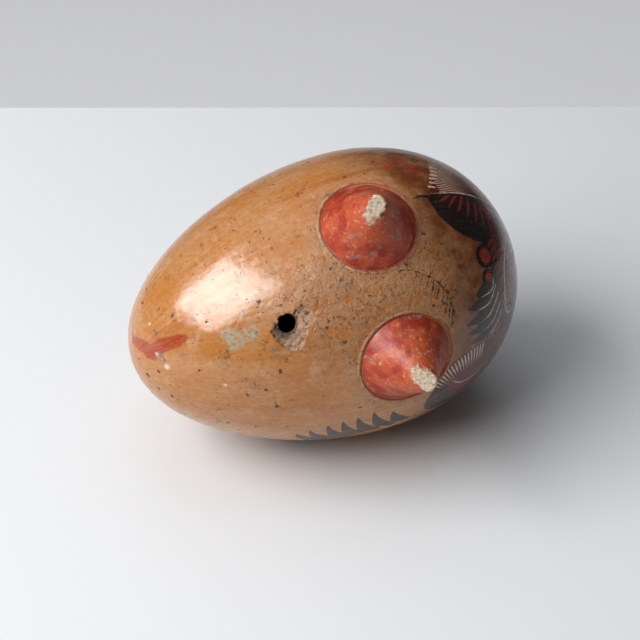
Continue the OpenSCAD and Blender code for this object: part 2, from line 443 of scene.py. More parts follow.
def paintFan(paint, points, way, flip, style):
    fill(paint, "brownSlip", points, way(style["outline"]))
    facing = -style["facing"] if flip else style["facing"]
    fan(paint, points, way([style["heart"]])[0], facing, style)
    brush(paint, "creamSlip", points, way(style["hem"]), [0.35, 0.6, 0.7, 0.6, 0.35])
    for spray in style.get("sprays", ()):
        brush(paint, "veinSlip", points, way(spray), [0.5, 1.3, 0.6])


def paintSide(paint, points, way, flip):
    brush(paint, "blackSlip", points, way(bigLeaf["stem"]), [0.5, 1.1, 1.6, 2.4])
    fill(paint, "blackSlip", points, way(bigLeaf["outline"]))
    for vein in bigLeaf["veins"]:
        brush(paint, "veinSlip", points, way(vein), [0.4, 1.3, 0.9])
    paintFan(paint, points, way, flip, upperFan)
    for along, around in upperFan["tips"]:
        brush(paint, "creamSlip", points, way([(along - 0.9, around + 0.2), (along + 1.6, around - 0.3)]),
              [1.0, 0.7])
    paintFlames(paint, points, way)
    paintFan(paint, points, way, flip, lowerFan)
    fill(paint, "blackSlip", points, way(greyLeaf["outline"]))
    for vein in greyLeaf["veins"]:
        brush(paint, "veinSlip", points, way(vein), [0.3, 0.9, 0.4])
    for dot in dots:
        centre = way([dot["place"]])[0]
        brush(paint, "blackSlip", points, [centre, (centre[0] + 0.1, centre[1])], [dot["size"]] * 2)
        redPlace = (centre[0] + 0.45, centre[1])
        brush(paint, "redSlip", points, [redPlace, (redPlace[0] + 0.1, redPlace[1])], [dot["red"]] * 2)
    for (along, around), (toAlong, toAround) in zip(garland["tips"], garland["ends"]):
        da, db = toAlong - along, toAround - around
        comma = [(along, around), (along + 0.12 * da, around + 0.35 * db),
                 (along + 0.45 * da, around + 0.75 * db), (toAlong, toAround)]
        wide = garland["width"]
        brush(paint, "blackSlip", points, way(comma), [0.15, wide * 0.5, wide, wide * 0.7])


def paintShell(points):
    paint = blankPaint(len(points))
    for way, flip in ((lambda p: p, False), (mirrored, True)):
        paintSide(paint, points, way, flip)
    # the cap of the blunt end is one rosette of petals with cream edges
    cap = 62.5 + 1.2 * np.cos(np.radians(np.degrees(np.arctan2(-points[:, 1], -points[:, 2])) * 8 - 200))
    paint["brownSlip"] = np.minimum(paint["brownSlip"], np.clip(cap - points[:, 0], -3, 3))
    for degrees in rosette["turns"]:
        petal = turned(rosette["petal"], degrees)
        brush(paint, "creamSlip", points, petal, [0.5, 0.8, 0.8, 0.8, 0.8, 0.7, 0.4])
        brush(paint, "redSlip", points, turned([(70, -16), (75, -16)], degrees), [2.2, 3.6])
        for step in range(5):
            around = -28 + 7 * step
            brush(paint, "veinSlip", points, turned([(61, around), (64.5, around + 1)], degrees), [1.4, 0.8])
    brush(paint, "blackSlip", points, frond["stem"], [frond["width"]] * len(frond["stem"]))
    for i, (along, around) in enumerate(frond["leaves"]):
        for tip in ((along - 4.2 + 0.2 * i, around - 4.6 - 0.5 * i), (along + 2.0, around + 1.6)):
            bent = (along * 0.5 + tip[0] * 0.5, around * 0.4 + tip[1] * 0.6)
            brush(paint, "blackSlip", points, [(along, around), bent, tip], [0.5, 0.62, 0.3])
    for places, width in scratches:
        brush(paint, "blackSlip", points, places, [width] * len(places))
    # one loose red stroke at the narrow end, laid in two pulls of the brush
    brush(paint, "redSlip", points, [(-78.4, 52), (-77.4, 30), (-76, 16), (-74.8, 5.5), (-74.2, 0)],
          [3.0, 4.6, 5.4, 5.4, 3.2])
    brush(paint, "redSlip", points, [(-74.6, 6), (-71.5, 9.2), (-68, 8.9), (-64.5, 8.4), (-62.4, 8.8)],
          [5.0, 5.6, 5.0, 4.2, 1.6])
    return paint


# the marks of age, and painted shade over the blunt end and in the crater round the thumb hole, as amounts
# from 0 to 1
def blot(points, place, size, stretch=(1.0, 1.0)):
    near, flat, _ = tangentPlane(points, *place, 4 * size)
    amount = np.zeros(len(points))
    away = np.hypot(flat[:, 0] / stretch[0], flat[:, 1] / stretch[1]) / size
    amount[near] = smoothStep(1.6 - away)
    return amount


wear = {
    "greySmudge": [((-41.3, 11.1), 1.5), ((-72, -1), 1.8), ((-60.2, 7.3), 1.2), ((-52, -12), 2.0),
                   ((-34, -11), 2.0), ((-2.8, 7.5), 2.8), ((-43.3, -27.6), 2.4), ((-35.5, 13.3), 1.2),
                   ((-27, 24), 1.6), ((5, -40), 2.2), ((-71.6, 24), 1.2), ((-65, -3), 1.4), ((40, -8), 2.0),
                   ((38, -27), 3.0)],
    "greenScuff": [((-49, 2.6), 2.4), ((-46, -1.0), 2.9), ((-41, 0.2), 2.7), ((-48.5, -3.6), 1.9)],
    "redBlush": [((31.5, 57), 3.0), ((41, 52), 3.2), ((38.5, 61), 2.4)],
    "whiteFleck": [((-72.3, 36.6), 0.55), ((-73.1, 2.7), 0.7), ((-71.1, -12.1), 1.0), ((-53.7, -26.4), 0.6)],
}
chip = {
    # the flake lost round the thumb hole: corners in mm from the hole's centre, along and round
    "corners": [(3.0, 3.0), (4.6, 4.2), (6.8, 4.8), (8.8, 4.2), (9.6, 2.2), (8.4, -1.2), (6.3, -3.2),
                (5.0, -6.0), (3.5, -6.5), (3.1, -10.2), (1.4, -11.0), (-0.8, -10.2), (-3.4, -8.8),
                (-5.5, -6.2), (-6.4, -3.0), (-6.0, -0.6), (-4.4, 1.2), (-2.0, 3.2)],
    "depth": 1.6,
}
thumb = {"along": -27.0, "diameter": 7.4, "cutAt": 0.9, "cutLength": 40}  # the bit is centred in the wall


def chipFlat(points):
    centre = onEgg(thumb["along"], 0)
    flat = points[:, [0, 1]] - centre[[0, 1]]
    flat = flat * np.array([1.0, -1.0])
    x, y = flat[:, 0], flat[:, 1]
    ragged = 0.45 * np.sin(x * 1.9 + 1.1 * y) + 0.35 * np.sin(y * 2.7 - x * 1.3)
    front = points[:, 2] < 0
    gap = np.full(len(points), 9.0)
    gap[front] = outlineGap(flat[front], np.array(chip["corners"], float)) + ragged[front]
    return gap, np.hypot(x, y)


def ageAndShadeMarks(points):
    marks = {}
    for name, spots in wear.items():
        total = np.zeros(len(points))
        for place, size in spots:
            total = np.maximum(total, blot(points, place, size))
        marks[name] = total
    gap, away = chipFlat(points)
    marks["chipped"] = smoothStep(0.5 - gap / 0.6)
    roots = [onEgg(foot["along"], side * foot["turn"]) for side in (1, -1)]
    feetGap = np.minimum(*(np.linalg.norm(points - root, axis=1) for root in roots))
    fromPalm = np.linalg.norm((points - onEgg(8, 0)) * np.array([0.72, 1, 1]), axis=1)
    marks["rubbed"] = np.clip(smoothStep((34 - fromPalm) / 16) + 0.8 * smoothStep((27 - feetGap) / 9), 0, 1)
    marks["dirt"] = np.clip(0.42 + 0.6 * marks["rubbed"] + 0.6 * smoothStep((22 - away) / 14), 0, 1)
    # painted shade: near black laid in the chipped crater on one side of the thumb hole, where its sunk wall
    # is in shade
    flat = (points - onEgg(thumb["along"], 0)) @ np.array([[-0.75, 0], [0, 0.65], [0, 0]])
    marks["craterShade"] = smoothStep((5.0 - away + 0.45 * flat.sum(1)) / 2.6) * marks["chipped"]
    # painted shade: the slip grows darker towards the blunt end, the end turned from the key lamp; part of it
    # is the slip's own deeper tone, and it is eased where the belly is rubbed
    shadeEasedWhereRubbed = 0.6 * marks["rubbed"] * smoothStep((44 - points[:, 0]) / 18)
    marks["deepToneAndShade"] = smoothStep((points[:, 0] - 10 + 6 * handWaves(points)) / 36 - shadeEasedWhereRubbed)
    return marks


# the two shells, pressed in moulds and luted together
shell = {
    "fineFrom": 24.0,  # the painted end gets the finest mesh
    "fineStep": 0.45,
    "holeStep": 0.55,
    "plainStep": 0.92,
    "columns": 250,
    "innerColumns": 14,
    "waves": 0.22,
    "bellyRawDepth": 3.0,  # deeper than this below the slip the clay is bare
    "backRawDepth": 1.5,
}


def shellTurns():
    turns = np.linspace(0, math.pi, 6001)
    along, radius = eggOutline(turns, egg["skin"])
    length = np.hypot(np.diff(along), np.diff(radius))
    middle = (along[1:] + along[:-1]) / 2
    step = np.where(middle > shell["fineFrom"], shell["fineStep"], shell["plainStep"])
    step = np.where(np.abs(middle - thumb["along"]) < 13, shell["holeStep"], step)
    count = np.concatenate([[0], np.cumsum(length / step)])
    rings = int(count[-1])
    return np.interp(np.linspace(0, count[-1], rings + 1), count, turns)


def eggSkin(turns, angles, inset, shift=0.0):
    along, radius = eggOutline(turns, inset)
    x = np.repeat(along[:, None], len(angles), 1) - shift
    return np.stack([x, -radius[:, None] * np.sin(angles), -radius[:, None] * np.cos(angles)], -1)


def carve(points):
    # hand waves over the whole egg and the chipped flake round the thumb hole, both inwards
    gap, away = chipFlat(points)
    inwards = shell["waves"] * handWaves(points)
    floor = chip["depth"] * (0.75 + 0.25 * np.sin(points[:, 0] * 1.7) * np.sin(points[:, 1] * 2.1 + 1))
    floor += 0.9 * smoothStep((5.2 - away) / 2.6)
    inwards += smoothStep(0.5 - gap / 0.7) * floor
    flat = points * np.array([0, 1, 1])
    size = np.maximum(np.linalg.norm(flat, axis=1), 1e-6)[:, None]
    return points - flat / size * inwards[:, None]


def buildShell(name, start, materials):
    turns = shellTurns()
    angles = np.radians(np.linspace(start, start + 180, shell["columns"] + 1))
    innerAngles = np.radians(np.linspace(start, start + 180, shell["innerColumns"] + 1))
    outer = carve(eggSkin(turns, angles, egg["skin"]).reshape(-1, 3))
    inner = eggSkin(turns, innerAngles, egg["wall"], egg["hollowShift"]).reshape(-1, 3)
    rows, wide, narrow = len(turns), len(angles), len(innerAngles)
    faces = stretchGrid(rows, wide) + stretchGrid(rows, narrow, rows * wide)
    for side in (0, 1):
        o, n = side * (wide - 1), rows * wide + side * (narrow - 1)
        faces += [(i * wide + o, (i + 1) * wide + o, n + (i + 1) * narrow, n + i * narrow)
                  for i in range(rows - 1)]
    made = meshPiece(name, np.concatenate([outer, inner]), faces, materials)
    tidyMesh(made)
    return made


def roundCutter(centre, way, diameter, length, sides=64):
    # a round bit of the given diameter, in the row frame, in metres
    work = bmesh.new()
    spin = Vector(way).to_track_quat("Z", "Y").to_matrix().to_4x4()
    place = Matrix.Translation(Vector(centre) * mm) @ spin
    bmesh.ops.create_cone(work, cap_ends=True, segments=sides, radius1=diameter / 2 * mm,
                          radius2=diameter / 2 * mm, depth=length * mm, matrix=place)
    return work


def blockCutter(corners, x0, x1):
    # a prism along X between x0 and x1; corners are (y, z)
    work = bmesh.new()
    ends = [[work.verts.new((x * mm, y * mm, z * mm)) for y, z in corners] for x in (x0, x1)]
    work.faces.new(ends[0][::-1])
    work.faces.new(ends[1])
    count = len(corners)
    for i in range(count):
        k = (i + 1) % count
        work.faces.new((ends[0][i], ends[0][k], ends[1][k], ends[1][i]))
    bmesh.ops.recalc_face_normals(work, faces=work.faces)
    return work


def cut(piece, cutters):
    for work in cutters:
        mesh = bpy.data.meshes.new("cutter")
        work.to_mesh(mesh)
        work.free()
        tool = bpy.data.objects.new("cutter", mesh)
        bpy.context.scene.collection.objects.link(tool)
        change = piece.modifiers.new("cut", "BOOLEAN")
        change.operation, change.solver, change.object = "DIFFERENCE", "MANIFOLD", tool
        depsgraph = bpy.context.evaluated_depsgraph_get()
        result = bpy.data.meshes.new_from_object(piece.evaluated_get(depsgraph))
        piece.modifiers.clear()
        old, piece.data = piece.data, result
        result.name = piece.name
        bpy.data.meshes.remove(old)
        bpy.data.objects.remove(tool)
        bpy.data.meshes.remove(mesh)


def store(piece, values):
    for name, value in values.items():
        made = piece.data.attributes.new(name, "FLOAT", "POINT")
        made.data.foreach_set("value", np.ascontiguousarray(value, np.float32))


def storeVector(piece, name, value):
    made = piece.data.attributes.new(name, "FLOAT_VECTOR", "POINT")
    made.data.foreach_set("vector", np.ascontiguousarray(value, np.float32).ravel())


def storePlaces(piece, points):
    # the egg's own axes in millimetres, and the way a burnishing stone travels from end to end
    storeVector(piece, "eggPlace", points)
    angle = np.arctan2(-points[:, 1], -points[:, 2])
    storeVector(piece, "stoneWay", np.stack([points[:, 0], 50 * np.cos(angle), 50 * np.sin(angle)], -1))


def rawInside(piece, deeper):
    # faces that lie under the slip show the bare clay
    count = len(piece.data.polygons)
    centres = np.zeros(count * 3)
    piece.data.polygons.foreach_get("center", centres)
    centres = toEgg(centres.reshape(-1, 3) / mm)
    depth = radiusAt(centres[:, 0]) - np.hypot(centres[:, 1], centres[:, 2])
    piece.data.polygons.foreach_set("material_index", (depth > deeper).astype(np.int32))


# finishes
def newMaterial(name):
    made = bpy.data.materials.new(name)
    made.use_nodes = True
    made.node_tree.nodes.clear()
    return made, partial(addNode, made.node_tree)


def finishMaterial(add, sockets):
    shader = add("ShaderNodeBsdfPrincipled", sockets)
    add("ShaderNodeOutputMaterial", {"Surface": shader})


def grain(add, coordinates, size, detail=3.0, roughness=0.55, stretch=None):
    # noise whose lumps are about size millimetres across
    if stretch:
        coordinates = add("ShaderNodeVectorMath", {0: coordinates, 1: stretch}, operation="MULTIPLY")
    return add("ShaderNodeTexNoise", {"Vector": coordinates, "Scale": 1 / size, "Detail": detail,
                                                "Roughness": roughness}, take="Fac")


def fleckMask(add, place, cell, radius, share):
    # scattered flecks: one cell in so many has a fleck of about radius millimetres
    swirl = add("ShaderNodeTexNoise", {"Vector": place, "Scale": 0.7 / radius, "Detail": 2.0}, take="Color")
    swirl = add("ShaderNodeVectorMath", {0: swirl, 1: (0.5, 0.5, 0.5)}, operation="SUBTRACT")
    swirl = add("ShaderNodeVectorMath", {0: swirl, "Scale": 4.0 * radius}, operation="SCALE")
    bent = add("ShaderNodeVectorMath", {0: place, 1: swirl}, operation="ADD")
    settings = {"Vector": bent, "Scale": 1 / cell}
    distance = add("ShaderNodeTexVoronoi", settings, take="Distance")
    colour = add("ShaderNodeTexVoronoi", settings, take="Color")
    chance = add("ShaderNodeSeparateColor", {0: colour}, take="Red")
    size = add("ShaderNodeSeparateColor", {0: colour}, take="Green")
    wobble = grain(add, place, radius * 1.1, 3.0, 0.7)
    edge = add("times", add("times", add("plus", size, 0.35), wobble), 2.2 * radius / cell)
    dot = add("soften", add("minus", edge, distance), 0.0, 0.06)
    picked = add("ShaderNodeMath", {0: chance, 1: share}, operation="LESS_THAN")
    return add("times", dot, picked)


# Burnished earthenware slip: iron-bearing ochre clay rubbed with a stone before firing, so it
# has a satin gloss, streaks from end to end, and matt places where the polish has worn away.
ochreSlip = {
    "tan": "#BC8452",
    "honey": "#B97636",
    "streak": "#A55A22",
    "pale": "#C79B74",
    # brown for the painted shade over the blunt end, which is also the slip's own deeper tone
    "deep": "#5A2509",
    "rubbed": "#A87850",
    "grime": "#5E3A22",
    "black": "#110C0A",
    "brown": "#561A12",
    "red": "#A03418",
    "cream": "#D8BBA2",
    "vein": "#7E2114",
    "speck": "#2E1C12",
    "smudge": "#76675A",
    "green": "#8E9E8B",
    "rawClay": "#C29A7C",
    "pit": "#523524",
    "brokenBrown": "#A8754F",
    # near black for the painted shade in the crater round the thumb hole
    "craterShade": "#1C110B",
    "whiteFleck": "#E2D2BC",
    "gloss": 0.22,
}


def makeOchreSlip():
    made, add = newMaterial("burnishedOchreSlip")
    c = ochreSlip
    place = add("places", attribute_name="eggPlace")
    way = add("places", attribute_name="stoneWay")
    rubbed, dirt, chipped = (add("amount", attribute_name=n) for n in ("rubbed", "dirt", "chipped"))

    clouds = grain(add, place, 30, 2)
    colour = add("over", add("soften", clouds, 0.38, 0.62), c["tan"], c["honey"])
    streaks = grain(add, way, 5, 3, stretch=(0.07, 1, 1))
    colour = add("over", add("soften", streaks, 0.5, 0.72, 0, 0.6), colour, c["streak"])
    pale = grain(add, way, 3.2, 4, stretch=(0.12, 1, 1))
    colour = add("over", add("soften", pale, 0.52, 0.72, 0, 0.5), colour, c["pale"])
    mottle = grain(add, place, 1.6, 4, 0.7)
    colour = add("over", add("soften", mottle, 0.48, 0.68, 0, 0.5), colour, c["streak"])
    colour = add("over", add("soften", mottle, 0.48, 0.3, 0, 0.4), colour, c["pale"])
    blotches = grain(add, place, 6.5, 5, 0.62)
    colour = add("over", add("soften", blotches, 0.52, 0.64, 0, 0.45), colour, c["honey"])
    colour = add("over", add("soften", blotches, 0.44, 0.34, 0, 0.5), colour, c["pale"])
    # painted shade: deep brown laid over the blunt end stands in for the shade on the side away from the
    # lamp, together with the slip's own deeper tone
    shaded = add("times", add("amount", attribute_name="deepToneAndShade"),
                 add("soften", blotches, 0.34, 0.6, 0.62, 0.92))
    colour = add("over", shaded, colour, c["deep"])
    patchy = add("soften", grain(add, place, 4, 5, 0.65), 0.34, 0.6)
    bare = add("times", rubbed, patchy)
    colour = add("over", add("times", bare, 0.8), colour, c["rubbed"])
    grimy = add("soften", grain(add, place, 1.9, 6, 0.75), 0.5, 0.64)
    colour = add("over", add("times", add("times", rubbed, grimy), 0.62), colour, c["grime"])
    crusty = add("soften", grain(add, place, 1.1, 4, 0.7), 0.46, 0.3)
    colour = add("over", add("times", add("times", rubbed, crusty), 0.45), colour, c["pale"])
    blush = add("times", add("amount", attribute_name="redBlush"),
                add("soften", grain(add, place, 2.5, 4, 0.6), 0.36, 0.6))
    colour = add("over", add("times", blush, 0.85), colour, c["red"])

    # slips, each with an edge as uneven as a hair brush leaves it
    ragged = add("times", add("plus", grain(add, place, 1.3, 3), -0.5), 0.75)
    worn = add("soften", grain(add, place, 0.8, 4, 0.7), 0.66, 0.72)
    painted = None
    for layer, tint in (("blackSlip", c["black"]), ("brownSlip", c["brown"]), ("veinSlip", c["vein"]),
                        ("redSlip", c["red"])):
        gap = add("plus", add("amount", attribute_name=layer), ragged)
        soft = 0.7 if layer == "redSlip" else 0.15
        mask = add("soften", gap, soft, -soft)
        thin = add("soften", grain(add, way, 0.9, 4, stretch=(0.15, 1, 1)), 0.35, 0.6,
                   0.6 if layer == "redSlip" else 0.88, 1)
        mask = add("times", mask, add("minus", thin, add("times", worn, 0.5)))
        colour = add("over", mask, colour, tint)
        painted = mask if painted is None else add("most", painted, mask)

    # cream lines: brushed ones, and the rays of the fans, thick at the rim and thin at the heart
    creamGap = add("plus", add("amount", attribute_name="creamSlip"), add("times", ragged, 0.55))
    line = add("soften", creamGap, 0.14, -0.14)
    fanNames = ("fanRay", "fanReach", "fanStep", "fanEdge")
    ray, reach, step, edge = (add("amount", attribute_name=n) for n in fanNames)
    part = add("ShaderNodeMath", {0: ray}, operation="FRACT")
    off = add("ShaderNodeMath", {0: add("plus", part, -0.5)}, operation="ABSOLUTE")
    across = add("plus", add("times", off, step), add("times", ragged, 0.2))
    half = add("times", add("soften", reach, 0.0, 0.8, 0.3, 1), add("amount", attribute_name="fanLine"))
    inside = add("minus", half, across)
    rays = add("soften", inside, -0.1, 0.12)
    rays = add("times", rays, add("soften", reach, 0.0, 0.75))
    rays = add("times", rays, add("soften", reach, 1.04, 0.98))
    rays = add("times", rays, add("soften", edge, 0.0, 0.1))
    line = add("most", line, rays)
    line = add("times", line, add("soften", grain(add, place, 0.9, 3), 0.3, 0.5, 0.55, 1))
    colour = add("over", line, colour, c["cream"])

    # age: smudges, a scuff of greenish dirt, flecks in the pores and small white flecks
    smudgy = add("soften", grain(add, place, 1.1, 5, 0.7), 0.4, 0.62)
    colour = add("over", add("times", add("times", add("amount", attribute_name="greySmudge"), smudgy),
                             0.75), colour, c["smudge"])
    scuffed = add("times", add("amount", attribute_name="greenScuff"),
                  add("soften", grain(add, place, 1.5, 5, 0.7), 0.42, 0.56))
    colour = add("over", add("times", scuffed, 0.9), colour, c["green"])
    gathered = add("soften", grain(add, place, 13, 3), 0.42, 0.66, 0.35, 1.5)
    soiled = add("times", dirt, gathered)
    fine = fleckMask(add, place, 1.25, 0.24, add("times", soiled, 0.42))
    coarse = fleckMask(add, place, 3.4, 0.62, add("times", soiled, 0.7))
    flecks = add("most", fine, coarse)
    stains = add("times", fleckMask(add, place, 6.5, 1.5, add("times", soiled, 1.1)), smudgy)
    colour = add("over", add("times", stains, 0.7), colour, c["grime"])
    colour = add("over", add("times", flecks, 0.88), colour, c["speck"])
    colour = add("over", add("times", add("amount", attribute_name="whiteFleck"), 0.8), colour,
                 c["whiteFleck"])
    pits = fleckMask(add, place, 1.8, 0.6, 0.7)
    broken = add("over", add("times", pits, 0.9), c["rawClay"], c["pit"])
    broken = add("over", add("soften", grain(add, place, 1.8, 4), 0.4, 0.65, 0, 0.45), broken,
                 c["brokenBrown"])
    # painted shade: the crater on one side of the thumb hole is darkened to near black where its sunk wall is
    # in shade
    craterShadeMask = add("times", add("amount", attribute_name="craterShade"),
                add("soften", grain(add, place, 1.0, 4, 0.65), 0.3, 0.55, 0.55, 1))
    broken = add("over", add("times", craterShadeMask, 0.92), broken, c["craterShade"])
    colour = add("over", chipped, colour, broken)

    matt = add("most", add("times", bare, 0.75), chipped)
    matt = add("most", matt, add("times", flecks, 0.8))
    matt = add("most", matt, add("times", scuffed, 0.8))
    sheen = grain(add, way, 2.0, 4, stretch=(0.15, 1, 1))
    roughness = add("soften", sheen, 0.3, 0.7, c["gloss"] - 0.05, c["gloss"] + 0.09)
    roughness = add("ShaderNodeMix", {0: matt, 2: roughness, 3: 0.72})
    height = add("times", sheen, 0.05)
    height = add("plus", height, add("times", grain(add, place, 7, 2), 0.35))
    height = add("plus", height, add("times", flecks, -0.16))
    height = add("plus", height, add("times", painted, 0.025))
    crumbs = add("times", chipped, add("plus", grain(add, place, 1.3, 5, 0.65), add("times", pits, -0.4)))
    height = add("plus", height, add("times", crumbs, 1.1))
    rubbedGrain = add("times", bare, grain(add, place, 0.8, 4, 0.65))
    height = add("plus", height, add("times", rubbedGrain, 0.35))
    bump = add("ShaderNodeBump", {"Height": height, "Strength": 1.0, "Distance": mm})
    coat = add("minus", 0.32, add("times", matt, 0.5), use_clamp=True)
    finishMaterial(add, {"Base Color": colour, "Roughness": roughness, "Normal": bump, "Coat Weight": coat,
                          "Coat Roughness": 0.14, "IOR": 1.45})
    return made


# Bare fired clay: the unslipped inside and the cut edges of the holes, matt and faintly gritty.
bareClay = {"body": "#9A6B4A", "dark": "#6E4830", "grit": "#C9A27F", "gritSize": 0.7}


def makeBareClay():
    made, add = newMaterial("bareEarthenware")
    c = bareClay
    place = add("places", attribute_name="eggPlace")
    tone = grain(add, place, 6, 4, 0.6)
    colour = add("over", add("soften", tone, 0.35, 0.65), c["body"], c["dark"])
    grit = fleckMask(add, place, 2.0, c["gritSize"] / 2, 0.4)
    colour = add("over", add("times", grit, 0.6), colour, c["grit"])
    height = add("plus", add("times", grain(add, place, 1.2, 4, 0.6), 0.3), add("times", grit, 0.1))
    bump = add("ShaderNodeBump", {"Height": height, "Strength": 0.9, "Distance": mm})
    finishMaterial(add, {"Base Color": colour, "Roughness": add("soften", tone, 0.3, 0.7, 0.78, 0.9),
                         "Normal": bump})
    return made


# Red iron slip on the feet: brushed thick, burnished by hand and rubbed through where the feet
# have stood, so it goes from deep red through orange to the chalky white ground at the tips.
redSlip = {
    "red": "#A5351F",
    "dark": "#852414",
    "orange": "#C45A30",
    "cream": "#DDB088",
    "grey": "#8E7B72",
    "chalk": "#CDBAA2",
    "chalkDirt": "#65503F",
    "pore": "#4A2318",
}


def makeRedSlip():
    made, add = newMaterial("rubbedRedSlip")
    c = redSlip
    place = add("places", attribute_name="eggPlace")
    tip, ridge = add("amount", attribute_name="tip"), add("amount", attribute_name="ridge")
    tone = grain(add, place, 7, 3)
    colour = add("over", add("soften", tone, 0.36, 0.66, 0, 0.6), c["red"], c["dark"])
    rubbing = add("plus", add("times", ridge, 0.5), add("times", grain(add, place, 5, 4, 0.6), 0.9))
    rubbing = add("plus", rubbing, add("times", tip, 0.35))
    rubbed = add("soften", rubbing, 0.62, 0.9)
    colour = add("over", add("times", rubbed, 0.65), colour, c["orange"])
    flaked = add("times", rubbed, add("soften", grain(add, place, 1.8, 6, 0.75), 0.54, 0.66))
    colour = add("over", add("times", flaked, 0.75), colour, c["cream"])
    greyed = add("soften", grain(add, place, 6.5, 5, 0.62, stretch=(1, 1.4, 0.8)), 0.6, 0.66)
    colour = add("over", add("times", greyed, 0.7), colour, c["grey"])
    pores = fleckMask(add, place, 1.8, 0.25, 0.3)
    colour = add("over", add("times", pores, 0.6), colour, c["pore"])
    worn = add("plus", add("amount", attribute_name="facet"),
               add("times", add("plus", grain(add, place, 2.2, 5, 0.65), -0.5), 1.3))
    worn = add("soften", worn, 0.42, 0.58)
    dirty = add("soften", grain(add, place, 1.0, 5, 0.7), 0.52, 0.64)
    chalk = add("over", add("times", dirty, 0.7), c["chalk"], c["chalkDirt"])
    pink = add("soften", tip, 0.86, 0.7, 0, 0.5)
    chalk = add("over", add("times", pink, add("soften", grain(add, place, 1.6, 4), 0.45, 0.6)), chalk,
                c["orange"])
    colour = add("over", worn, colour, chalk)
    matt = add("most", add("times", flaked, 0.6), worn)
    roughness = add("ShaderNodeMix", {0: matt, 2: add("soften", tone, 0.3, 0.7, 0.36, 0.5), 3: 0.88})
    height = add("times", grain(add, place, 2.4, 4, 0.6), 0.3)
    height = add("plus", height, add("times", flaked, -0.06))
    height = add("plus", height, add("times", pores, -0.15))
    height = add("plus", height, add("times", add("times", worn, grain(add, place, 0.8, 4, 0.7)), 0.5))
    bump = add("ShaderNodeBump", {"Height": height, "Strength": 1.0, "Distance": mm})
    finishMaterial(add, {"Base Color": colour, "Roughness": roughness, "Normal": bump,
                         "Specular IOR Level": 0.3})
    return made


# Luting clay: soft clay smeared round each joint with a fingertip, the ochre of the body but
# paler and duller, because no stone reaches it.
lutingClay = {"body": "#A87850", "pale": "#BC8C62", "dirt": "#5A3A24", "slip": "#9C3520"}


def makeLutingClay():
    made, add = newMaterial("smearedLutingClay")
    c = lutingClay
    place = add("places", attribute_name="eggPlace")
    tone = grain(add, place, 3, 4, 0.6)
    colour = add("over", add("soften", tone, 0.4, 0.62), c["body"], c["pale"])
    dirt = add("soften", grain(add, place, 2.2, 5, 0.7), 0.48, 0.62)
    colour = add("over", add("times", dirt, 0.65), colour, c["dirt"])
    slipped = add("plus", add("amount", attribute_name="slipped"), add("times", add("plus", tone, -0.5), 1.8))
    colour = add("over", add("times", add("soften", slipped, 0.66, 0.8), 0.9), colour, c["slip"])
    height = add("plus", add("times", tone, 0.25), add("times", dirt, -0.1))
    bump = add("ShaderNodeBump", {"Height": height, "Strength": 0.9, "Distance": mm})
    finishMaterial(add, {"Base Color": colour, "Roughness": add("soften", tone, 0.3, 0.7, 0.5, 0.68),
                         "Normal": bump})
    return made


ochreSlipMaterial = makeOchreSlip()
bareClayMaterial = makeBareClay()
redSlipMaterial = makeRedSlip()
lutingClayMaterial = makeLutingClay()
print("finishes made")


# feet: two cones of solid clay, pulled up and pinched between the fingers
foot = {
    "along": 13.4,
    "turn": 28.4,
    "splay": 20.1,
    "lean": 2.1,
    "height": 24.7,
    "rootRadius": 18.5,
    "tipRadius": 3.6,
    "hollowness": 1.2,
    "facet": {1: (-0.75, -0.65), -1: (-0.6, 0.8)},  # the way the worn side of each tip faces
    "facetAt": 22.6,
    "facetSlope": 0.85,
    "dents": ((0.55, 9.0), (0.28, 3.2)),  # depth and size of each
    "chipSize": 2.4,
    "grindDepth": 0.35,
    "grindSize": 1.5,
    "rows": 90,
    "columns": 150,
}


def footAxes(side):
    # root on the egg, way up the foot, and two directions across it, in the egg's axes
    root = onEgg(foot["along"], side * foot["turn"])
    lean, splay = math.radians(foot["lean"]), math.radians(side * foot["splay"])
    up = np.array([-math.sin(lean), -math.sin(splay) * math.cos(lean), -math.cos(splay) * math.cos(lean)])
    across = np.cross(up, [1.0, 0, 0])
    across /= np.linalg.norm(across)
    return root, up, np.cross(across, up), across


def dropOnEgg(points, up, lift=0.0):
    # slides each point along up until it lies lift millimetres over the egg
    low, high = np.full(len(points), -25.0), np.full(len(points), 25.0)
    for _ in range(30):
        middle = (low + high) / 2
        at = points + middle[:, None] * up
        under = np.hypot(at[:, 1], at[:, 2]) < radiusAt(at[:, 0]) + lift
        low, high = np.where(under, middle, low), np.where(under, high, middle)
    return points + low[:, None] * up


def footProfile(t):
    # radius and height from the root to the tip, for t from 0 to 1
    body = 1 - np.clip(t / 0.86, 0, 1)
    radius = foot["tipRadius"] + (foot["rootRadius"] - foot["tipRadius"]) * body ** foot["hollowness"]
    cap = np.clip((t - 0.86) / 0.14, 0, 1)
    radius = np.where(t > 0.86, foot["tipRadius"] * np.sqrt(np.clip(1 - cap**2.4, 0, 1)), radius)
    height = np.where(t > 0.86, 0.86 + 0.14 * cap, t) * foot["height"]
    return radius, height


def lumps(points, size, seed):
    return np.array([noise.noise(Vector(p) / size + Vector((seed, 0, 0))) for p in points])


def footFacet(up, ahead, across, side):
    a, b = foot["facet"][side]
    way = up + foot["facetSlope"] * (a * ahead + b * across)
    return way / np.linalg.norm(way)


def facetExcess(points, root, up, ahead, across, side):
    # how far points stand out beyond the worn facet, in millimetres
    way = footFacet(up, ahead, across, side)
    return (points - root) @ way - foot["facetAt"] * (way @ up)


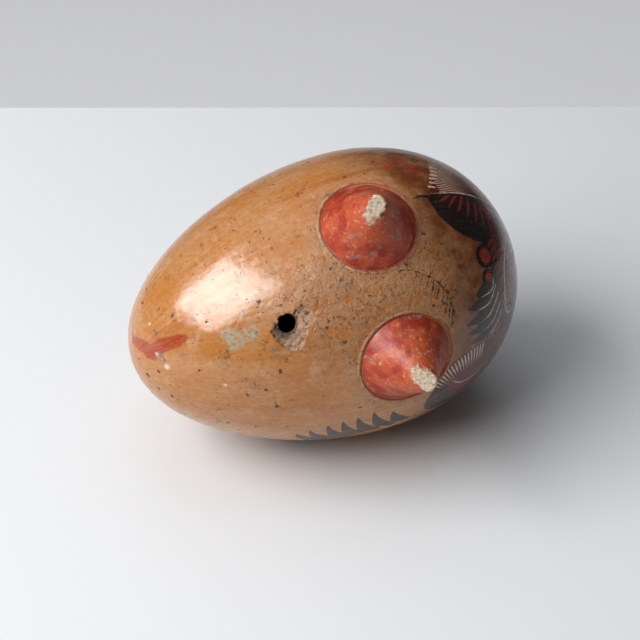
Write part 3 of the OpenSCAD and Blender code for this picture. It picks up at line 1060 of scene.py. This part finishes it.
def buildFoot(name, side, seed):
    root, up, ahead, across = footAxes(side)
    t = np.linspace(0, 1, foot["rows"]) ** 0.92
    turn = np.linspace(0, 2 * math.pi, foot["columns"], endpoint=False)
    radius, height = footProfile(t)
    out = np.cos(turn)[:, None] * ahead + np.sin(turn)[:, None] * across
    drop = (dropOnEgg(root + foot["rootRadius"] * out, up, -0.5) - root) @ up
    share = t[:, None]
    lift = drop[None] * (1 - smoothStep(share / 0.75)) + height[:, None]
    grid = root + radius[:, None, None] * out[None] + lift[:, :, None] * up
    flat = grid.reshape(-1, 3)
    (deep, wide), (fineDeep, fineWide) = foot["dents"]
    bend = deep * lumps(flat, wide, seed) + fineDeep * lumps(flat, fineWide, seed + 7)
    bend = bend.reshape(lift.shape) * smoothStep(share / 0.06) * smoothStep((1.02 - share) / 0.06)
    chipping = np.clip(np.abs(lumps(flat, foot["chipSize"], seed + 13)) - 0.12, 0, 1).reshape(lift.shape)
    chipping = chipping * smoothStep((share - 0.6) / 0.25) * smoothStep((1.05 - share) / 0.05)
    grid = grid + out[None] * (bend - chipping)[:, :, None] - up * chipping[:, :, None]
    # the tip is ground to a slanting facet where the foot has stood
    worn = facetExcess(grid, root, up, ahead, across, side)
    facetWay = footFacet(up, ahead, across, side)
    rough = foot["grindDepth"] * lumps(flat, foot["grindSize"], seed + 17).reshape(lift.shape)
    grid = grid - facetWay * (smoothStep(worn / 0.4 + 0.5) * np.maximum(worn + rough, 0))[:, :, None]
    made = loft(name, grid[:-1], [redSlipMaterial])
    places = eggPoints(made)
    storePlaces(made, places)
    high = (places - root) @ up / foot["height"]
    facet = smoothStep(0.5 + facetExcess(places, root, up, ahead, across, side) / 2.4 + 0.35)
    store(made, {"tip": np.clip(high, 0, 1), "ridge": 0.5 + 0.5 * lumps(places, 5.0, seed + 3),
                 "facet": facet})
    return made


rim = {"width": 1.5, "height": 0.26, "sunk": 0.5, "columns": 220, "section": 12}


def buildFootRim(name, side, seed):
    root, up, ahead, across = footAxes(side)
    turn = np.linspace(0, 2 * math.pi, rim["columns"], endpoint=False)
    out = np.cos(turn)[:, None] * ahead + np.sin(turn)[:, None] * across
    wobble = np.array([noise.noise(Vector((math.cos(a) * 2.2, math.sin(a) * 2.2, seed))) for a in turn])
    wide = rim["width"] * (1 + 0.35 * wobble)
    rows = []
    for s in np.linspace(0, 2 * math.pi, rim["section"], endpoint=False):
        radius = foot["rootRadius"] + 0.1 + 0.35 * wide + math.cos(s) * wide / 2
        lift = np.maximum(rim["height"] * (0.75 + 0.5 * wobble) * math.sin(s), -rim["sunk"])
        rows.append(dropOnEgg(root + radius[:, None] * out, up) + lift[:, None] * up)
    made = loft(name, np.array(rows), [lutingClayMaterial], endless=True)
    places = eggPoints(made)
    storePlaces(made, places)
    away = np.hypot((places - root) @ ahead, (places - root) @ across) - foot["rootRadius"]
    store(made, {"slipped": smoothStep(1 - away / rim["width"])})
    return made


# the coil that bonds the two halves, pressed along the seam inside with a thumb
coil = {"depth": 2.8, "half": 4.4, "columns": 260, "section": 12, "presses": 31}


def buildSeamCoil(name):
    turn = (np.arange(coil["columns"]) + 0.5) / coil["columns"] * 2 * math.pi
    along, aside = eggOutline(turn, egg["wall"])
    path = np.stack([along - egg["hollowShift"], aside], 1)
    ahead = np.roll(path, -1, 0) - np.roll(path, 1, 0)
    normal = np.stack([ahead[:, 1], -ahead[:, 0]], 1) / np.linalg.norm(ahead, axis=1)[:, None]
    bend = np.abs(aside) / np.maximum(np.abs(normal[:, 1]), 1e-6)
    press = 0.86 + 0.14 * np.cos(turn * coil["presses"])
    rows = []
    for s in np.linspace(0, 2 * math.pi, coil["section"], endpoint=False):
        high = math.sin(s) * coil["half"] * press
        inwards = max(-math.cos(s), -0.1) * coil["depth"] * press + high**2 / (2 * bend)
        flat = path - normal * inwards[:, None]
        rows.append(np.stack([flat[:, 0], flat[:, 1], high], 1))
    made = loft(name, np.array(rows), [bareClayMaterial], endless=True)
    storePlaces(made, eggPoints(made))
    return made


# the mouthpiece: two slabs with the windway between them, luted to the back of the egg
mouthpiece = {
    "middle": 20.0,
    "start": 17.0,
    "reach": 75.8,
    "rootWidth": 34.6,
    "tipWidth": 24.6,
    "rootHeight": 26.8,
    "rootTo": 44.0,
    "tipHeight": 12.8,
    "corner": 4.0,
    "edge": 5.2,
    "floorEdge": 2.4,
    "split": 5.0,
    "joint": 0.06,
    "offFloor": 0.02,
    "intoEgg": 0.35,
    "stations": 110,
    "section": 96,
}
holes = {
    "fingerAlong": (-38, -14, 12, 36),
    "fingerUp": (2, 9, 9, 2),
    "fingerDiameters": (6.6, 8.2, 9.0, 7.4),
    "windway": (5.0, 6.8),
    "windwayWidth": 14.0,
    "windwayTo": 120,  # both past the end of what they cut
    "slabWindwayTo": 200,
    "fingerBoreAt": 40,
    "fingerBoreLength": 80,
    "windowFrom": -1,
    "windowTo": 12,
    "window": (8.0, 14.0),
    "ramp": [(8, -1), (-5, -1), (-5, 0.7), (8, 5.9)],
}


def onGround(points):
    # from beside the egg's middle, on the floor, to the row frame
    return np.asarray(points, float) + np.array([eggCentre[0], eggCentre[1], 0])


def slabRings(upper):
    m = mouthpiece
    t = np.linspace(0, 1, m["stations"])
    t = np.where(t > 0.7, 0.7 + 0.3 * np.sin((t - 0.7) / 0.3 * math.pi / 2), t)
    back = m["start"] + (m["reach"] - m["start"]) * t
    half = (m["rootWidth"] + (m["tipWidth"] - m["rootWidth"]) * (back - 2) / (m["reach"] - 2)) / 2
    slope = np.clip((back - m["rootTo"]) / (m["reach"] - m["corner"] - m["rootTo"]), 0, 1)
    slope = 0.75 * slope + 0.25 * smoothStep(slope)
    high = m["rootHeight"] + (m["tipHeight"] - m["rootHeight"]) * slope
    end = np.clip((back - (m["reach"] - m["corner"])) / m["corner"], 0, 1)
    turnIn = m["corner"] * (1 - np.sqrt(np.clip(1 - end**2, 0, 1)))
    half = half - turnIn
    high = high - turnIn if upper else np.full_like(high, m["split"] - m["joint"])
    if upper:
        bottom = np.full_like(high, m["split"] + m["joint"])
    else:
        bottom = m["offFloor"] + turnIn * m["floorEdge"] / m["corner"]
    turn = np.linspace(0, 2 * math.pi, m["section"], endpoint=False)
    corner = m["edge"] if upper else m["floorEdge"]
    rings = []
    for y, h, b, top in zip(back, half, bottom, high):
        size = np.minimum(corner, np.minimum(0.48 * (top - b), 0.48 * h))
        ring = []
        for x, z, start in ((h - size, top - size, 0), (-h + size, top - size, 90),
                            (-h + size, b + size, 180), (h - size, b + size, 270)):
            small = 0.5 if (z > (top + b) / 2) != upper else size
            cx, cz = math.copysign(h - small, x), (top - small if z > (top + b) / 2 else b + small)
            for a in np.radians(np.linspace(start, start + 90, m["section"] // 4)):
                ring.append((m["middle"] + cx + small * math.cos(a), y, cz + small * math.sin(a)))
        rings.append(ring)
    return toEgg(onGround(rings).reshape(-1, 3)).reshape(len(back), -1, 3)


def eggCutter(inset):
    turns = np.linspace(0, math.pi, 300)[1:-1]
    angles = np.linspace(0, 2 * math.pi, 300, endpoint=False)
    rings = eggSkin(turns, angles, inset)
    rows, columns = rings.shape[:2]
    work = bmesh.new()
    points = [work.verts.new(p) for p in toRow(rings.reshape(-1, 3)) * mm]
    poles = [work.verts.new(p) for p in toRow([(egg["length"] / 2 - inset, 0, 0),
                                               (inset - egg["length"] / 2, 0, 0)]) * mm]
    for face in stretchGrid(rows, columns, wrap=True):
        work.faces.new([points[i] for i in face])
    for j in range(columns):
        k = (j + 1) % columns
        work.faces.new((points[k], points[j], poles[0]))
        work.faces.new((points[(rows - 1) * columns + j], points[(rows - 1) * columns + k], poles[1]))
    bmesh.ops.recalc_face_normals(work, faces=work.faces)
    return work


def duct(low, high, y0, y1):
    x = mouthpiece["middle"] + eggCentre[0]
    half = holes["windwayWidth"] / 2
    back = eggCentre[1]
    corners = [(y0 + back, low), (y1 + back, low), (y1 + back, high), (y0 + back, high)]
    return blockCutter(corners, x - half, x + half)


def buildSlab(name, upper):
    made = loft(name, slabRings(upper), [ochreSlipMaterial, bareClayMaterial], sharpAngle=40)
    cutters = [eggCutter(mouthpiece["intoEgg"])]
    if upper:
        cutters.append(duct(holes["windway"][0] - 1, holes["windway"][1], holes["window"][0],
                            holes["slabWindwayTo"]))
    cut(made, cutters)
    tidyMesh(made, 40)
    places = eggPoints(made)
    storePlaces(made, places)
    paint = blankPaint(len(places))
    back = toRow(places)[:, 1] - eggCentre[1]
    marks = {name: np.zeros(len(places)) for name in (*wear, "chipped", "craterShade", "deepToneAndShade")}
    marks["rubbed"] = smoothStep((back - 58) / 16) + 0.25 * lumps(places, 8, 5)
    marks["dirt"] = np.full(len(places), 0.5)
    store(made, {**paint, **marks})
    return made


def onEggFromBehind(x, z):
    # the point of the egg's surface straight behind a place on its upright section, in the row frame
    low, high = eggCentre[1], eggCentre[1] + 80.0
    for _ in range(40):
        middle = (low + high) / 2
        at = toEgg([(x, middle, z)])[0]
        low, high = (middle, high) if math.hypot(at[1], at[2]) < radiusAt(at[0]) else (low, middle)
    return np.array([x, low, z])


mouthRim = {"radius": 1.9, "sunk": 0.9, "section": 14}


def buildMouthpieceRim(name):
    m, r = mouthpiece, mouthRim
    half, top, corner = m["rootWidth"] / 2 - 1.6, m["rootHeight"], m["edge"]
    path = [(-half, z) for z in np.linspace(m["split"] + 0.4, top - corner, 40)]
    bends = np.linspace(0, math.pi / 2, 16)
    path += [(-half + corner * (1 - math.cos(a)), top - corner + corner * math.sin(a)) for a in bends]
    path += [(x, top) for x in np.linspace(-half + corner, 0, 24)]
    path += [(-x, z) for x, z in path[-2::-1]]
    path = np.array([onEggFromBehind(m["middle"] + eggCentre[0] + x, z) for x, z in path])
    ahead = np.gradient(path, axis=0)
    ahead /= np.linalg.norm(ahead, axis=1)[:, None]
    inEgg = toEgg(path)
    out = toRow(inEgg * np.array([1, 1.01, 1.01])) - path
    out /= np.linalg.norm(out, axis=1)[:, None]
    side = np.cross(ahead, out)
    turn = np.linspace(0, 2 * math.pi, r["section"], endpoint=False)
    wobble = 1 + 0.2 * lumps(path, 6.0, 21)
    ends = np.minimum(1, np.sqrt(np.linspace(0.02, len(path) / 6, len(path))))
    size = r["radius"] * wobble * ends * ends[::-1]
    rings = path[:, None] + size[:, None, None] * (
        np.cos(turn)[None, :, None] * side[:, None] * 1.1 + np.sin(turn)[None, :, None] * out[:, None])
    rings -= out[:, None] * r["sunk"]
    made = loft(name, toEgg(rings.reshape(-1, 3)).reshape(rings.shape), [lutingClayMaterial])
    storePlaces(made, eggPoints(made))
    store(made, {"slipped": np.zeros(len(made.data.vertices))})
    return made


def finishShell(made, deeper):
    tidyMesh(made, 50)
    places = eggPoints(made)
    storePlaces(made, places)
    store(made, {**paintShell(places), **ageAndShadeMarks(places)})
    rawInside(made, deeper)
    return made


bellyShell = buildShell("bellyShell", -90, [ochreSlipMaterial, bareClayMaterial])
thumbCentre = toRow(onEgg(thumb["along"], 0) * np.array([1, 1, thumb["cutAt"]]))
cut(bellyShell, [roundCutter(thumbCentre, tilt @ np.array([0, 0, -1.0]), thumb["diameter"],
                             thumb["cutLength"])])
finishShell(bellyShell, shell["bellyRawDepth"])
print("belly shell made,", len(bellyShell.data.vertices), "points")

backShell = buildShell("backShell", 90, [ochreSlipMaterial, bareClayMaterial])
bores = []
for along, up, diameter in zip(holes["fingerAlong"], holes["fingerUp"], holes["fingerDiameters"]):
    radius = eggOutline(math.acos(along / (egg["length"] / 2)), 0)[1]
    high = eggCentre[2] + along * math.tan(rise) + radius * math.sin(math.radians(up))
    bores.append(roundCutter(onGround((along, holes["fingerBoreAt"], high)), (0, 1, 0), diameter,
                             holes["fingerBoreLength"]))
windowX = mouthpiece["middle"] + eggCentre[0]
rampCorners = [(y + eggCentre[1], z) for y, z in holes["ramp"]]
halfWindway = holes["windwayWidth"] / 2
bores.append(duct(*holes["windway"], holes["window"][0], holes["windwayTo"]))
bores.append(duct(holes["windowFrom"], holes["windowTo"], *holes["window"]))
bores.append(blockCutter(rampCorners, windowX - halfWindway, windowX + halfWindway))
cut(backShell, bores)
finishShell(backShell, shell["backRawDepth"])
print("back shell made,", len(backShell.data.vertices), "points")

rightFoot = buildFoot("rightFoot", 1, 2.0)
leftFoot = buildFoot("leftFoot", -1, 31.0)
rightFootRim = buildFootRim("rightFootRim", 1, 4.0)
leftFootRim = buildFootRim("leftFootRim", -1, 9.0)
seamCoil = buildSeamCoil("seamCoil")
upperSlab = buildSlab("mouthpieceUpperSlab", True)
lowerSlab = buildSlab("mouthpieceLowerSlab", False)
mouthpieceRim = buildMouthpieceRim("mouthpieceRim")
print("feet, rims, coil and mouthpiece made")


# the pale table that it lies on, its far edge, and the wall beyond and below it
table = {"edge": 0.232, "towards": (0.363, 0.932), "width": 4.0, "deep": 2.0, "thick": 0.02}
surfaces = {"table": "#E6E8EA", "wall": "#D2D2D4", "glow": {"table": 0.0, "wall": 0.44}, "grainSize": 0.6}


def makePlain(name, kind):
    # matt lacquered board, even to the eye, with the faintest tooth; the wall is lit from above
    made, add = newMaterial(name)
    tint = surfaces[kind]
    place = add("ShaderNodeTexCoord", take="Object")
    tooth = grain(add, place, surfaces["grainSize"] * mm, 2)
    bump = add("ShaderNodeBump", {"Height": tooth, "Strength": 0.1, "Distance": 0.05 * mm})
    finishMaterial(add, {"Base Color": linear(tint), "Roughness": 0.75, "Normal": bump,
                          "Emission Color": linear(tint), "Emission Strength": surfaces["glow"][kind]})
    return made


def stagePlate(name, near, far, top, material):
    ahead = Vector((*table["towards"], 0)).normalized()
    side = Vector((ahead.y, -ahead.x, 0)) * table["width"] / 2
    work = bmesh.new()
    bmesh.ops.create_cube(work, size=1)
    for v in work.verts:
        way = ahead * (far if v.co.y > 0 else near) + side * (1 if v.co.x > 0 else -1)
        v.co = way + Vector((0, 0, top if v.co.z > 0 else top - table["thick"]))
    mesh = bpy.data.meshes.new(name)
    bmesh.ops.recalc_face_normals(work, faces=work.faces)
    work.to_mesh(mesh)
    work.free()
    made = bpy.data.objects.new(name, mesh)
    mesh.materials.append(material)
    bpy.context.scene.collection.objects.link(made)
    return made


tableTop = stagePlate("tableTop", -table["deep"], table["edge"], 0.0, makePlain("paleTable", "table"))
backdrop = stagePlate("backdrop", -3.0, 5.0, -0.45, makePlain("greyWall", "wall"))

lamps = [
    {"name": "leftSoftbox", "from": (-0.735, -0.04, 0.68), "away": 1.3, "size": (1.25, 0.8), "power": 20.5,
     "tint": "#FFFFFF", "diffuse": True},
    {"name": "leftWindow", "from": (-0.735, -0.04, 0.68), "away": 1.28, "size": (1.15, 0.7), "power": 18.0,
     "tint": "#FFFFFF", "diffuse": False},
    {"name": "overheadFill", "from": (-0.1, 0.25, 1.0), "away": 1.5, "size": (1.7, 1.7), "power": 8.0,
     "tint": "#F6FAFF", "diffuse": True},
]
for lamp in lamps:
    data = bpy.data.lights.new(lamp["name"], "AREA")
    data.shape, (data.size, data.size_y) = "RECTANGLE", lamp["size"]
    data.energy, data.color = lamp["power"], linear(lamp["tint"])[:3]
    made = bpy.data.objects.new(lamp["name"], data)
    bpy.context.scene.collection.objects.link(made)
    way = Vector(lamp["from"]).normalized()
    made.location = Vector(eggCentre) * mm + way * lamp["away"]
    made.rotation_euler = (-way).to_track_quat("-Z", "Y").to_euler()
    made.visible_diffuse = lamp["diffuse"]  # the window only shows as a reflection
world = bpy.data.worlds.new("studio")
bpy.context.scene.world = world
world.use_nodes = True
world.node_tree.nodes["Background"].inputs["Color"].default_value = linear("#F4F6FA")
world.node_tree.nodes["Background"].inputs["Strength"].default_value = 0.07
print("stage and light made")

pieces = [
    (bellyShell, "belly_shell", "ochre_slip"),
    (backShell, "back_shell", "ochre_slip"),
    (seamCoil, "seam_coil", "raw_clay"),
    (rightFoot, "right_foot", "red_slip"),
    (leftFoot, "left_foot", "red_slip"),
    (rightFootRim, "right_foot_rim", "luting_clay"),
    (leftFootRim, "left_foot_rim", "luting_clay"),
    (upperSlab, "mouthpiece_upper_slab", "ochre_slip"),
    (lowerSlab, "mouthpiece_lower_slab", "ochre_slip"),
    (mouthpieceRim, "mouthpiece_rim", "luting_clay"),
]
for piece, nodeName, slotName in pieces:
    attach(piece, "root")
    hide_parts(nodeName)
